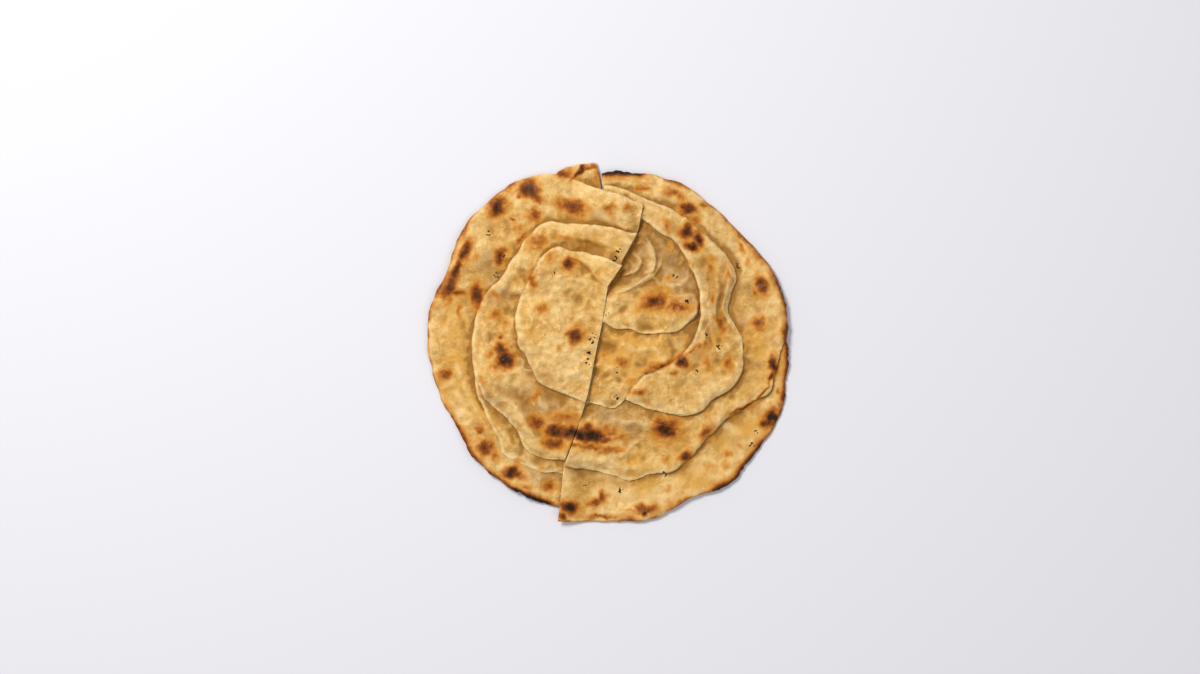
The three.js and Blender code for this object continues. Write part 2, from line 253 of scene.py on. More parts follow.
RIGHT_SPOTS = [
    (25, 23, 6.3, 4.4, 25, 0.85), (38, 19, 6, 3.6, -10, 0.65), (34, 34, 2.3, 1.8, 0, 0.35),
    (42.5, 61, 3.3, 3.2, 0, 0.97), (49, 57, 3.1, 3.4, 0, 1), (45, 53, 3.5, 1.9, -32, 0.95),
    (32, 64, 2.4, 3, 0, 0.45), (44.5, 73.6, 4.3, 2.9, -15, 0.92), (37, 81, 6.8, 2.3, -30, 0.5),
    (53, 76, 1.8, 2, -40, 0.55), (20, 85, 3.5, 1.4, 0, 0.5), (48, 66, 2.3, 2.3, -40, 0.5),
    (73, 52, 1.4, 3.8, 15, 0.5), (77, 44, 1.1, 3, 10, 0.4), (85, 31, 3.2, 4.4, 15, 0.85),
    (80, 27, 1.2, 2.6, 15, 0.5), (56, 41, 1.5, 2.3, 15, 0.5), (57, 25, 0.9, 2.6, 0, 0.5),
    (66, 37, 0.8, 2.3, 0, 0.45), (83, 11, 3, 3.3, 20, 0.72), (61, 10, 1.4, 3.8, 20, 0.6),
    (63, 7, 1.1, 2.3, 30, 0.5), (91, -11, 2, 4.7, 0, 1), (89, -19, 1.2, 3, -5, 0.9),
    (86, -27, 4.5, 0.8, 50, 0.75), (73, -36, 6.8, 0.9, 25, 0.7), (41, -10, 2.9, 3.3, 30, 0.98),
    (46, -5, 4.5, 1.1, 40, 0.5), (53, -3, 1.7, 2.6, 0, 0.55), (50, -4, 1.2, 3, 20, 0.42),
    (55, -12, 2.1, 3.2, 15, 0.5), (66, -11, 2.9, 3.2, 0, 0.55), (36, -16, 2.6, 1.5, 0, 0.55),
    (28, -12, 8.3, 1.8, 18, 0.6), (8, -10, 3.2, 2.7, 0, 0.55), (-1, -6, 3, 1.8, 20, 0.42),
    (13, -21, 2.7, 2, 0, 0.35), (18, -27, 4.8, 1.7, 8, 0.55), (32, -47, 6.2, 5.2, 5, 0.93),
    (28, -45, 2.3, 3, 0, 0.7), (53, -49, 2.6, 5, -40, 0.7), (43, -62, 3.2, 2.6, 10, 0.85),
    (32, -64, 2, 2.7, 0, 0.4), (90, -41, 3.2, 4.2, 0, 1.05), (88, -44, 3.5, 2.7, 0, 0.85),
    (95, -27, 1.4, 1.8, 0, 0.55), (65, -61, 2.3, 2, 0, 0.45), (64, -67, 2.3, 2.6, 0, 0.4),
    (56, -68, 4.5, 2.6, 0, 0.3), (-6, -87, 5.3, 2, 20, 0.72), (-3, -85, 1.8, 3, 20, 0.72),
    (-4, -95, 6.8, 1.2, 5, 0.6), (-22, -90.8, 4.2, 2.9, -10, 1.15), (-25, -95.5, 2.3, 2, 0, 0.75),
    (21, -91, 4.5, 2.3, 0, 0.75), (20, -93, 1.5, 1.5, 0, 1), (33, -80, 2.1, 1.7, 0, 0.35),
    (-10, -57, 7.5, 1.7, 0, 0.6), (0, -59, 6.8, 1.7, 0, 0.55), (0, -48, 4.5, 3, 0, 0.5),
    (6, -52, 3.8, 2.3, 0, 0.45), (-9, -50.5, 6.5, 3.5, 0, 1.02), (-15.5, -50, 4, 2.8, -10, 1),
    (-2, -53, 4.5, 2.3, 0, 0.75), (-18, -57, 3.8, 1.2, 0, 0.6), (73, -56, 2, 1.7, 0, 0.35),
    (14, -93, 6, 0.8, -10, 0.4), (3, -95, 4.5, 1.1, 0, 0.4),
]
# Charred stretches of rim: points, strength.
CHARRED = [
    ([(-86, -41), (-79, -54), (-70, -66), (-60, -75), (-49, -82)], 0.75),
    ([(-50, -82), (-43, -85), (-34, -88)], 1.15),
    ([(-4, 93), (6, 94), (16, 92.5)], 1.1),
    ([(94, 32), (98, 21), (99, 16)], 0.95),
    ([(98.5, 9), (99, -4), (99, -17), (97, -30)], 0.85),
    ([(84, -56), (76, -67), (68, -76), (60, -80)], 0.95),
    ([(-25, 94), (-18, 97), (-12, 99)], 0.8),
]
# The stretch of rim that was folded in and stayed pale.
UNBAKED_RIM = [(-46, 90), (-32, 93), (-16, 89), (-3, 84), (6, 81), (19.5, 76)]
# Loose black crumbs: x, y.
CRUMBS = [
    (-66, 60), (-61, 37), (6, 50), (-3, 39), (-1, 16), (-9, 1), (-10, -5), (5, -15), (5, -30), (71, 42),
    (37, 37), (43, 23), (53, 4), (49, -16), (30, -60), (31, -72), (7, -81), (-12, -78), (-10, -12),
    (-58, 48), (79, -56), (82, -49), (-19, -48.5), (-10.5, -52.5), (-5, -52), (-8, 4), (-11, -10),
    (4, 46), (61, -2), (-30, 38),
]
# Places where the dough is paler, yellow with oil, or painted a greyer brown: x, y, radius.
PALE = [
    (-67, -25, 3), (-60, -31, 3), (-53, -37, 3), (-48.5, -43, 3), (-45, -50, 3), (-39.5, -57.5, 3),
    (-31, -61.5, 3), (-25, -10, 15), (-30, 22, 11), (-48, -73, 9), (-60, -60, 6), (-72, 60, 10),
    (-36, 74, 9), (-55, -17, 8), (52, -25, 9), (-51, -60, 6), (-44, -65, 5), (-56, -51, 3.5), (88, -4, 4),
    (80, 13, 4), (90, -28, 4), (70, -49, 4), (84, -50, 4), (-13, -68, 4), (8, -73, 4), (29, -71, 4),
    (-56, -67, 5), (90, 20, 6), (34, -85, 10), (2, -91, 10), (-78, -36, 6), (12, -84, 9), (60, 66, 8),
    (-2, -66, 9), (58, -70, 8), (74, -66, 6), (30, 85, 8), (8, 70, 8),
]
YELLOWED = [
    (-88, 10, 10), (-84, -10, 9), (-4, 41, 8), (-14, 60, 8), (2, 57, 8), (8, -4, 15), (26, 0, 10),
    (-69, -26, 6), (-63, -38, 7), (-57, -50, 7), (-46, -62, 6), (-36, -65, 6), (84, 2, 11), (87, -18, 9),
    (78, -44, 10), (62, -56, 9), (20, -79, 12), (-17, -57.5, 5), (-7, -61, 5), (4, -64.5, 5),
    (18, -66, 6), (31, -68, 5), (42, -64, 5), (46, -75, 10), (-84, -25, 8), (-70, -34, 7), (84, 46, 8),
    (40, -66, 6), (-44, 6, 7), (60, 8, 7),
]
GREY_BROWN = [
    (-50, -27, 9), (-40, -33, 10), (-28, -39, 9), (30, 52, 12), (42, 38, 11), (47, 22, 7), (14, 43, 11),
    (2, 62, 8), (0, -43, 8), (14, -47, 9), (62, 18, 6), (-18, -70, 6), (-38, -74, 7), (-60, 30, 7),
    (50, 2, 6), (68, 30, 7), (-66, 44, 8), (24, -42, 8), (4, -50, 6), (11, -55, 5), (80, -9, 4),
    (85, -38, 4), (74, -58, 4), (83, 28, 4), (88, 8, 3),
]
# Deep places, where shade is painted in darker ochre: x, y, radius.
DEEP_SHADE = [
    (-70, -22, 4), (-66.5, -29, 5), (-62, -35.5, 6), (-58, -41, 4), (-54, -48, 3), (-30, 52, 3.5),
    (10, 42, 4), (20, 57, 3.5), (-20, 54, 3), (-11, 52.5, 2.5), (-3, 50, 2.5), (19, 42, 2.5), (16, 61, 5),
    (2, 47, 4), (62, 24, 2.5), (61, 14, 2.5), (52, 10, 4), (46, 2, 3.5),
]
# Glistening places, where oil lies on the crust: x, y, radius.
OILY = [(32, 4, 9), (20, -45, 8), (12, -26, 10), (-36, 6, 10), (-44, -40, 8), (38, 28, 9), (-14, -14, 8),
        (-58, -18, 8), (0, -18, 8)]
UNDERSIDE_SPOTS = 70
SPOT_SPREAD = 1.2  # how far a spot's halo reaches past its own size
SPOT_WARP = 0.5  # how far a spot's outline strays from an oval

# ---- curves

def smooth_curve(points, step=EDGE_STEP):
    """Evenly spaced points on a smooth curve through the given ones."""
    p = np.array(points, float)
    p = np.vstack([2 * p[0] - p[1], p, 2 * p[-1] - p[-2]])
    knots = np.concatenate([[0], np.cumsum(np.sqrt(np.linalg.norm(np.diff(p, axis=0), axis=1)))])
    dense = []
    for k in range(1, len(p) - 2):
        t0, t1, t2, t3 = knots[k - 1:k + 3]
        t = np.linspace(t1, t2, 24, endpoint=False)[:, None]
        a1 = ((t1 - t) * p[k - 1] + (t - t0) * p[k]) / (t1 - t0)
        a2 = ((t2 - t) * p[k] + (t - t1) * p[k + 1]) / (t2 - t1)
        a3 = ((t3 - t) * p[k + 1] + (t - t2) * p[k + 2]) / (t3 - t2)
        b1 = ((t2 - t) * a1 + (t - t0) * a2) / (t2 - t0)
        b2 = ((t3 - t) * a2 + (t - t1) * a3) / (t3 - t1)
        dense.append(((t2 - t) * b1 + (t - t1) * b2) / (t2 - t1))
    dense = np.vstack(dense + [p[-2:-1]])
    run = np.concatenate([[0], np.cumsum(np.linalg.norm(np.diff(dense, axis=0), axis=1))])
    at = np.linspace(0, run[-1], max(2, int(round(run[-1] / step)) + 1))
    return np.column_stack([np.interp(at, run, dense[:, i]) for i in range(2)])


def nearest(xy, line):
    """Where along a line of closely spaced points each point is nearest to it, and how far off it is."""
    tree = KDTree(len(line))
    for i, (x, y) in enumerate(line):
        tree.insert((x, y, 0), i)
    tree.balance()
    found = [tree.find((x, y, 0)) for x, y in xy]
    return np.array([index for _, index, _ in found], int), np.array([off for _, _, off in found])


def distance(xy, line):
    """Distance of each point from a line of closely spaced points."""
    return nearest(xy, line)[1]


def inside(xy, outline):
    """Which points lie inside a closed outline."""
    x, y = xy[:, 0], xy[:, 1]
    odd = np.zeros(len(xy), bool)
    for (x0, y0), (x1, y1) in zip(outline, np.roll(outline, -1, axis=0)):
        if y0 == y1:
            continue
        rows = (y0 > y) != (y1 > y)
        odd ^= rows & (x < (x1 - x0) * (y - y0) / (y1 - y0) + x0)
    return odd


# ---- fields on the grid

AXIS = np.arange(-GRID_HALF, GRID_HALF + GRID_CELL / 2, GRID_CELL)
GRID_X, GRID_Y = np.meshgrid(AXIS, AXIS)
GRID_XY = np.column_stack([GRID_X.ravel(), GRID_Y.ravel()])


def blurred(field, size):
    """The field, blurred by a Gaussian of this size."""
    freq = np.fft.fftfreq(len(AXIS), GRID_CELL)
    keep = np.exp(-2 * (math.pi * freq * size) ** 2)
    return np.fft.ifft2(np.fft.fft2(field) * keep[None, :] * keep[:, None]).real


def noise(seed, size):
    """Smooth noise with features of this size, mostly from -2 to 2."""
    field = blurred(np.random.default_rng(seed).standard_normal(GRID_X.shape), size)
    return (field - field.mean()) / field.std()


def distance_field(line, where):
    """How far each of these places on the grid is from a line."""
    field = np.full(GRID_X.shape, FAR)
    field[where] = distance(np.column_stack([GRID_X[where], GRID_Y[where]]), line)
    return field


def tented(field):
    """The lowest surface over the field that falls away no steeper than a draped sheet."""
    best = field.copy()
    for _ in range(int(DRAPE_REACH / GRID_CELL)):
        for i, j in ((0, 1), (1, 0), (0, -1), (-1, 0), (1, 1), (1, -1), (-1, 1), (-1, -1)):
            drop = DRAPE_SLOPE * GRID_CELL * math.hypot(i, j)
            best = np.maximum(best, np.roll(best, (i, j), (0, 1)) - drop)
    return best


def sample(field, xy):
    """The field's value at each point."""
    u = np.clip((xy - AXIS[0]) / GRID_CELL, 0, len(AXIS) - 1.001)
    k = u.astype(int)
    fx, fy = (u - k).T
    i, j = k[:, 1], k[:, 0]
    low = field[i, j] * (1 - fx) + field[i, j + 1] * fx
    high = field[i + 1, j] * (1 - fx) + field[i + 1, j + 1] * fx
    return low * (1 - fy) + high * fy


def shifts(fields, xy):
    """Two fields' values at each point, as a sideways shift."""
    return np.column_stack([sample(field, xy) for field in fields])


def ramp(value, start, end):
    """0 before start, 1 after end, and smooth between them."""
    t = np.clip((value - start) / (end - start), 0, 1)
    return t * t * (3 - 2 * t)


def fold(points, height, left, right):
    """A ridge along a curve, falling off over `left` mm on its left side and `right` mm on its right."""
    line = smooth_curve(points)
    field = np.zeros(len(GRID_XY))
    reach = 3 * max(left, right)
    low, high = line.min(axis=0) - reach, line.max(axis=0) + reach
    near = np.flatnonzero(((GRID_XY > low) & (GRID_XY < high)).all(axis=1))
    index = nearest(GRID_XY[near], line)[0]
    tangent = np.gradient(line, axis=0)[index]
    tangent /= np.linalg.norm(tangent, axis=1)[:, None]
    away = GRID_XY[near] - line[index]
    side = tangent[:, 0] * away[:, 1] - tangent[:, 1] * away[:, 0]
    off = np.linalg.norm(away, axis=1)
    along = index / (len(line) - 1)
    ends = ramp(along, 0, 0.25) * ramp(1 - along, 0, 0.25)
    field[near] = height * ends * np.exp(-(off / np.where(side > 0, left, right)) ** 2)
    return field.reshape(GRID_X.shape)


# ---- the sheets

class Sheet:
    """One sheet of dough. Its edges, (kind, points) pairs, make a closed loop in plan. The kinds are "rim",
    "lip", "cut" and "hidden": a baked rim, a rolled lip, the knife cut, and under another sheet."""

    def __init__(self, half, *edges, thick, lift, waves, folds=(), base=False, laps=False):
        self.half = half
        self.thick = thick
        self.lift = lift
        self.waves = waves
        self.folds = folds
        self.base = base  # it lies on the table
        self.laps = laps  # it lies over the other half at the back
        self.lines = {kind: np.empty((0, 2)) for kind in ("rim", "lip", "cut", "hidden")}
        pieces = [ragged(smooth_curve(points), kind) for kind, points in edges]
        for (kind, _), piece in zip(edges, pieces):
            self.lines[kind] = np.vstack([self.lines[kind], piece])
        self.outline = closed_loop(np.vstack(pieces))
        self.mask = inside(GRID_XY, self.outline).reshape(GRID_X.shape)

    def points_on(self, *kinds):
        """The points along its edges of these kinds."""
        return np.vstack([self.lines[kind] for kind in kinds])


WANDER = [0.3 * noise(11, 1.0) + noise(12, 3.0), 0.3 * noise(13, 1.0) + noise(14, 3.0)]
JAGS = [noise(15, 0.7), noise(16, 0.7)]


def ragged(line, kind):
    """The line, softened and wandering a little, more where it is charred. Its ends and a cut stay."""
    if kind == "cut":
        return line
    from_end = np.minimum(np.arange(len(line)), np.arange(len(line))[::-1])
    soft = line.copy()
    for reach in (4, 3):
        padded = np.pad(soft, ((reach, reach), (0, 0)), "edge")
        soft = sum(padded[k:k + len(line)] for k in range(2 * reach + 1)) / (2 * reach + 1)
    ends = ramp(from_end, 0, 10)[:, None]
    line = line + ends * (soft - line)
    charred = char_at(line)[:, None] if kind == "rim" else 0
    return line + ends * (RAGGED[kind] * shifts(WANDER, line) + CHAR_RAGGED * charred * shifts(JAGS, line))


def char_at(xy):
    """How charred the rim is near each point."""
    strength = np.zeros(len(xy))
    for points, most in CHARRED:
        strength = np.maximum(strength, most * np.exp(-(distance(xy, smooth_curve(points)) / 5) ** 2))
    return strength


def closed_loop(points):
    """The loop without points that are nearly on top of each other, counter-clockwise."""
    kept = [points[0]]
    for point in points[1:]:
        if np.linalg.norm(point - kept[-1]) > 0.3 * EDGE_STEP:
            kept.append(point)
    if np.linalg.norm(kept[0] - kept[-1]) < 0.3 * EDGE_STEP:
        kept.pop()
    loop = np.array(kept)
    x, y = loop.T
    area = np.sum(x * np.roll(y, -1) - np.roll(x, -1) * y)
    return loop if area > 0 else loop[::-1]


def inset(points, amount):
    """The points, moved towards the middle of the round."""
    return [(x * (1 - amount / math.hypot(x, y)), y * (1 - amount / math.hypot(x, y))) for x, y in points]


def beside_cut(points):
    """The points of the right half's cut, moved to the left half's side of it."""
    return [(x - CUT_GAP, y) for x, y in points]


def right_sheets():
    """The right half's sheets, from the bottom up."""
    base = Sheet("right", ("cut", RIGHT_CUT[:-1] + [(-3.3, 89.8)]), ("hidden", inset(RIGHT_RIM_BACK, 3)),
                 ("rim", RIGHT_RIM_FRONT), thick=1.7, lift=0.3, waves=0.25, base=True)
    outer_coil = Sheet("right", ("cut", [(-24.2, -67.5)] + RIGHT_CUT[3:]), ("rim", RIGHT_RIM_BACK),
                       ("lip", OUTER_COIL_LIP), thick=1.7, lift=0.8, waves=0.5, folds=OUTER_COIL_FOLDS)
    centre = Sheet("right", ("cut", [(-12.1, -33.5)] + RIGHT_CUT[4:7] + [(0.1, 28)]),
                   ("hidden", CENTRE_HIDDEN[::-1]), ("lip", CENTRE_LIP[::-1]),
                   thick=1.5, lift=0.45, waves=0.4, folds=CENTRE_FOLDS)
    sunken = Sheet("right", ("cut", [(-2.8, 11.5)] + RIGHT_CUT[7:10] + [(-2.1, 76.5)]),
                   ("hidden", SUNKEN_HIDDEN[::-1]), ("lip", SUNKEN_LIP[::-1]),
                   thick=1.1, lift=0.6, waves=0.15, folds=SUNKEN_FOLDS)
    ring = Sheet("right", ("lip", RING_LIP), ("lip", RING_INNER), ("cut", [(-2, 73.5), (-2.4, 86.5)]),
                 thick=1.7, lift=0.8, waves=0.5, folds=RING_FOLDS)
    return [base, outer_coil, centre, sunken, ring]


def left_sheets():
    """The left half's sheets, from the bottom up."""
    low_cut = beside_cut(RIGHT_CUT)[::-1]
    base = Sheet("left", ("rim", inset(LEFT_RIM[:24], 1.6)), ("rim", BACK_CORNER),
                 ("cut", [(-6.1, 98.4), (-4.5, 90)] + low_cut[1:-1] + [(-27.2, -87.6)]),
                 thick=1.6, lift=0.2, waves=0.1, base=True)
    outer = Sheet("left", ("rim", LEFT_RIM), ("cut", LAP_CUT), ("cut", FLAP_CUT + FRONT_CUT),
                  thick=1.5, lift=0.4, waves=0.45, folds=OUTER_FOLDS, laps=True)
    inner_fold = Sheet("left", ("lip", FOLD_LIP), ("hidden", FOLD_HIDDEN),
                       ("cut", [(-21.8, -58), (-24.7, -72)]),
                       thick=0.8, lift=0.2, waves=0.0, folds=INNER_FOLDS)
    coil = Sheet("left", ("lip", LEFT_COIL_LIP), ("cut", LAP_CUT[1:]),
                 ("cut", FLAP_CUT + FRONT_CUT[:1] + [(-23.4, -64.6)]),
                 thick=1.7, lift=0.8, waves=0.5, folds=COIL_FOLDS)
    flap = Sheet("left", ("lip", FLAP_LIP), ("cut", [(8, 42.5), (5, 38), (0.12, 31)]),
                 ("cut", FLAP_CUT + [(-12.5, -33)]),
                 thick=1.8, lift=0.6, waves=0.5, folds=FLAP_FOLDS)
    return [base, outer, inner_fold, coil, flap]


ALL_RIMS = np.vstack([smooth_curve(line) for line in (LEFT_RIM, RIGHT_RIM_BACK, RIGHT_RIM_FRONT)])
RIM_DISTANCE = distance_field(ALL_RIMS, np.hypot(GRID_X, GRID_Y) > 70)


def floor_for(half):
    """How high a half's lowest sheet is off the table. Rims curl, and the right cut's front end rises."""
    wave = 0.5 + 0.5 * np.sin(5 * np.arctan2(GRID_Y, GRID_X) + 1)
    curl = RIM_CURL[0] + (RIM_CURL[1] - RIM_CURL[0]) * wave
    curl = curl * (1 - ramp(RIM_DISTANCE, 0, RIM_CURL_REACH))
    if half == "left":
        return curl
    cut = smooth_curve(RIGHT_CUT[:5])[::8]
    off = np.hypot(GRID_X[..., None] - cut[:, 0], GRID_Y[..., None] - cut[:, 1]).min(axis=-1)
    at_front = 1 - ramp(GRID_Y, -52, -34)
    return np.maximum(curl, CUT_RISE * (1 - ramp(off, 0, CUT_RISE_REACH)) * at_front)


# Relief that all sheets share: creased skin, broad swells, and dents that go up into the underside.
WRINKLES = 0.15 * (1 - np.abs(noise(21, 1.6))) + 0.24 * (1 - np.abs(noise(22, 4.5))) + 0.05 * noise(23, 0.8)
SWELLS = noise(24, 8.0)
DENTS = 0.3 * np.clip(noise(25, 5.0), 0, 2) + 0.12 * np.clip(noise(26, 1.8), 0, 2)


def rolled(off):
    """The height of a rolled lip: 0 at its edge, 1 at its crest, and fading further in."""
    return off / LIP_CREST * np.exp(1 - off / LIP_CREST)


def lay(sheet, support, seed):
    """Drapes a sheet over what supports it, and returns the new surface."""
    low = support if sheet.base else np.maximum(blurred(tented(support), 0.9), support)
    edge = distance_field(sheet.points_on("lip", "rim")[::2], sheet.mask)
    pressed = ramp(noise(seed + 3, 9), 0.1, 1.5)  # where the edge was pressed thin and flat
    uneven = np.maximum(1 + 0.45 * noise(seed, 8), 0.25)
    roll = sheet.lift * rolled(edge) * uneven * (1 - 0.8 * pressed)
    swell = sheet.waves * np.maximum(1 + 0.7 * noise(seed + 1, 7) + 0.5 * SWELLS, 0) * ramp(edge, 0, 5)
    sheet.depth = sheet.thick * (1 - 0.7 * pressed * np.exp(-edge / 6))
    bubbles = 0.6 * ramp(noise(seed + 2, 3.8), 0.8, 2.6)
    sheet.relief = WRINKLES + bubbles + sum((fold(*f) for f in sheet.folds), np.zeros(GRID_X.shape))
    if sheet.base:  # its underside stays on the table, so only its top swells
        sheet.low = low
        sheet.relief = sheet.relief + roll + swell
    else:
        sheet.low = low + roll + swell
    return np.where(sheet.mask, sheet.low + sheet.depth + sheet.relief, support)


def standing_out(surface, size, least, span, most=1.0):
    """How far a surface stands out from its blurred self: 0 up to `least` mm, and 1 at `span` mm more."""
    return np.clip((surface - blurred(surface, size) - least) / span, 0, most)


def lay_all(sheets):
    """Lays the sheets in turn. Returns the surface they make, and the topmost sheet's number everywhere."""
    tops = {half: floor_for(half) for half in ("right", "left")}
    topmost = np.full(GRID_X.shape, -1)
    for number, sheet in enumerate(sheets):
        if sheet.laps:
            over = sheet.mask & (tops["right"] > tops["left"]) & (GRID_Y > LAP_FRONT)
            tops["left"] = np.where(over, tops["right"], tops["left"])
        tops[sheet.half] = lay(sheet, tops[sheet.half], 40 + 5 * number)
        topmost[sheet.mask] = number
    return np.maximum(tops["right"], tops["left"]), topmost


SHEETS = right_sheets() + left_sheets()
TOP, TOPMOST = lay_all(SHEETS)
# Painted shade: how far the surface lies below its blurred self, in the hollows and at the foot of each
# lip.
HOLLOW_SHADE = standing_out(-TOP, 2.6, 0.16, 0.8) + standing_out(-TOP, 7, 0.1, 2.6, most=0.6)
# Painted highlight: how far the surface stands above its blurred self, on raised crests.
CREST_HIGHLIGHT = standing_out(TOP, 3.5, 0.1, 0.7)
# The highest number among each cell and its neighbours.
TOPMOST_NEAR = np.max([np.roll(TOPMOST, (i, j), (0, 1)) for i in (-1, 0, 1) for j in (-1, 0, 1)], axis=0)

# ---- colour fields

def toasted(xy, spots):
    """How brown each point is, from 0 to about 1.1."""
    xy = xy + SPOT_WARP * shifts([noise(61 + i, 1.2) + noise(63 + i, 3) for i in range(2)], xy)
    brown = np.zeros(len(xy))
    for x, y, across, up, turn, strength in spots:
        away = xy - (x, y)
        near = np.flatnonzero(np.abs(away).max(axis=1) < 3 * max(across, up))
        c, s = math.cos(math.radians(turn)), math.sin(math.radians(turn))
        u = (away[near, 0] * c + away[near, 1] * s) / (SPOT_SPREAD * across)
        v = (away[near, 1] * c - away[near, 0] * s) / (SPOT_SPREAD * up)
        brown[near] = np.maximum(brown[near], strength * np.exp(-0.8 * (u * u + v * v) ** 1.1))
    return brown


def underside_spots(seed):
    """Random spots where the underside lay on the hot clay."""
    rng = np.random.default_rng(seed)
    spots = []
    for _ in range(UNDERSIDE_SPOTS):
        radius = 94 * math.sqrt(rng.uniform())
        angle = rng.uniform(0, 2 * math.pi)
        size = rng.uniform(1.5, 5)
        look = size * rng.uniform(0.6, 1.3), rng.uniform(0, 180), rng.uniform(0.35, 0.95)
        spots.append((radius * math.cos(angle), radius * math.sin(angle), size, *look))
    return spots


def rim_browning(xy, rim, patchy):
    """How brown each point is from being near the rim, in patches, and black where the rim is charred."""
    brown_reach, scorch_reach, char_reach = (
        least + more * patchy for least, more in (RIM_REACH, SCORCH_REACH, CHAR_REACH))
    unbaked = np.exp(-(distance(xy, smooth_curve(UNBAKED_RIM)) / 5) ** 2)
    brown = RIM_TOAST * (1 - 0.85 * unbaked) * np.exp(-(rim + 0.3) / brown_reach)
    char = char_at(xy)
    scorched = SCORCH * np.minimum(char, 1) * np.exp(-(rim / scorch_reach) ** 2)
    return np.maximum(np.maximum(brown, scorched), char * np.exp(-(rim / char_reach) ** 2))


def colour_fields(sheet, xy, underside):
    """The fields that the crust's material reads, at each vertex."""
    spots = underside_spots(71) if underside else LEFT_SPOTS if sheet.half == "left" else RIGHT_SPOTS
    brown = toasted(xy, spots)
    rim = distance(xy, ALL_RIMS[::2])
    patchy = np.clip(0.45 + 0.28 * sample(noise(65, 2.2) + noise(67, 7), xy), 0.03, 1)
    brown = np.maximum(brown, rim_browning(xy, rim, patchy))
    freckles = FRECKLE * np.clip(sample(noise(66, 2.0), xy) - 1.1, 0, 2) * (0.4 + 0.6 * np.exp(-rim / 30))
    drift = xy + 2.5 * shifts([noise(68 + i, 5) for i in range(2)], xy)
    pale = patches(drift, PALE)
    shown = 0 if underside else 1
    inside_rim = np.exp(-((rim - 8) / 5) ** 2) * patchy
    # A cream band inside the rim, and a painted highlight on raised crests.
    cream_and_crest_highlight = np.maximum(1.3 * inside_rim, 0.75 * shown * sample(CREST_HIGHLIGHT, xy))
    return {
        "toast": np.maximum(brown, freckles),
        "crumbs": patches(xy, [(x, y, 1.9) for x, y in CRUMBS]),
        "oil": patches(drift, OILY),
        # Paler dough, with the painted highlight on raised crests.
        "pale": np.maximum(pale, cream_and_crest_highlight),
        "yellow": patches(drift, YELLOWED),
        "grey_brown": patches(drift, GREY_BROWN),
        # Painted shade in the hollows, less where the dough is pale.
        "hollow_shade": shown * (1 - 0.6 * pale) * np.maximum(sample(HOLLOW_SHADE, xy), 0.85 * patches(xy, DEEP_SHADE)),
    }


def patches(xy, places):
    """1 in the middle of each round place, fading out at its radius."""
    field = np.zeros(len(xy))
    for x, y, radius in places:
        field = np.maximum(field, np.exp(-(((xy - (x, y)) / radius) ** 2).sum(axis=1) ** 1.3))
    return field


# ---- meshes

def triangulated(points, outline):
    """Points and triangles that fill a closed outline, using the given inner points."""
    everything = [Vector(p) for p in np.vstack([outline, points])]
    ring = len(outline)
    edges = [(i, (i + 1) % ring) for i in range(ring)]
    verts, _, faces, *_ = delaunay_2d_cdt(everything, edges, [], 1, 1e-6, False)
    verts, faces = np.array([tuple(v) for v in verts]), np.array(faces, int)
    a, b, c = (verts[faces[:, i]] for i in range(3))
    double_area = np.abs((b - a)[:, 0] * (c - a)[:, 1] - (b - a)[:, 1] * (c - a)[:, 0])
    return verts, faces[inside((a + b + c) / 3, outline) & (double_area > SLIVER)]


def hexagonal(low, high, spacing):
    """A grid of evenly spaced points over a box."""
    rows = np.arange(low[1], high[1], spacing * math.sqrt(3) / 2)
    columns = np.arange(low[0], high[0], spacing)
    x, y = np.meshgrid(columns, rows)
    x[1::2] += spacing / 2
    return np.column_stack([x.ravel(), y.ravel()])


def rounded(distance_in, radius):
    """The height of a round edge, from 0 at the edge to 1 further in than its radius."""
    return np.sqrt(1 - (1 - np.clip(distance_in / radius, 0, 1)) ** 2)


def inner_points(sheet, offsets, fine, shown):
    """Points inside a sheet's outline: rows along its edge, and a grid that is fine where it is shown."""
    outline = sheet.outline
    tangent = np.roll(outline, -1, axis=0) - np.roll(outline, 1, axis=0)
    tangent /= np.linalg.norm(tangent, axis=1)[:, None]
    inward = np.column_stack([-tangent[:, 1], tangent[:, 0]])
    rows = []
    for offset in offsets:
        row = outline + offset * inward
        row = row[inside(row, outline)]
        rows.append(row[distance(row, outline) > 0.8 * offset])
    low, high = outline.min(axis=0), outline.max(axis=0)
    grids = []
    for spacing, here in ((fine, shown), (COARSE, 1 - shown)):
        grid = hexagonal(low + 0.37 * spacing, high, spacing)
        grid = grid[sample(here, grid) > 0.5]
        grid = grid[inside(grid, outline)]
        grids.append(grid[distance(grid, outline) > offsets[-1] + 0.4 * fine])
    return np.vstack(rows + grids)


def plan_meshes(number, sheet):
    """Points and triangles in plan of a sheet's upper face, and then of its lower face."""
    shown = (blurred((TOPMOST == number).astype(float), 1.2) > 0.06).astype(float)
    below = np.full(GRID_X.shape, 1.0 if sheet.base else 0.0)
    upper = inner_points(sheet, LIP_ROWS, FINE, shown)
    lower = inner_points(sheet, UNDER_ROWS, UNDER, below)
    return triangulated(upper, sheet.outline), triangulated(lower, sheet.outline)


def heights(sheet, xy, up, edge, cut, toast):
    """How high each vertex is: the sheet's middle, half its thickness up or down, and its relief."""
    middle = 0.5 * sample(sheet.depth, xy)
    half = middle * np.minimum(rounded(edge, LIP_ROUND * sheet.thick), rounded(cut, CUT_ROUND))
    border = distance(xy, sheet.outline) < 1e-4
    half[border] = 0
    rise = ramp(edge, -0.6, 2.2) * ramp(cut, -0.6, 0.5) * (up & ~border)
    relief = rise * sample(sheet.relief, xy)
    if sheet.base:
        relief = relief + sample(DENTS, xy) * ramp(edge, 1, 5) * ramp(cut, 0, 2) * ~up
    relief = relief + BLISTER * rise * toast
    return sample(sheet.low, xy) + middle + np.where(up, half, -half) + relief


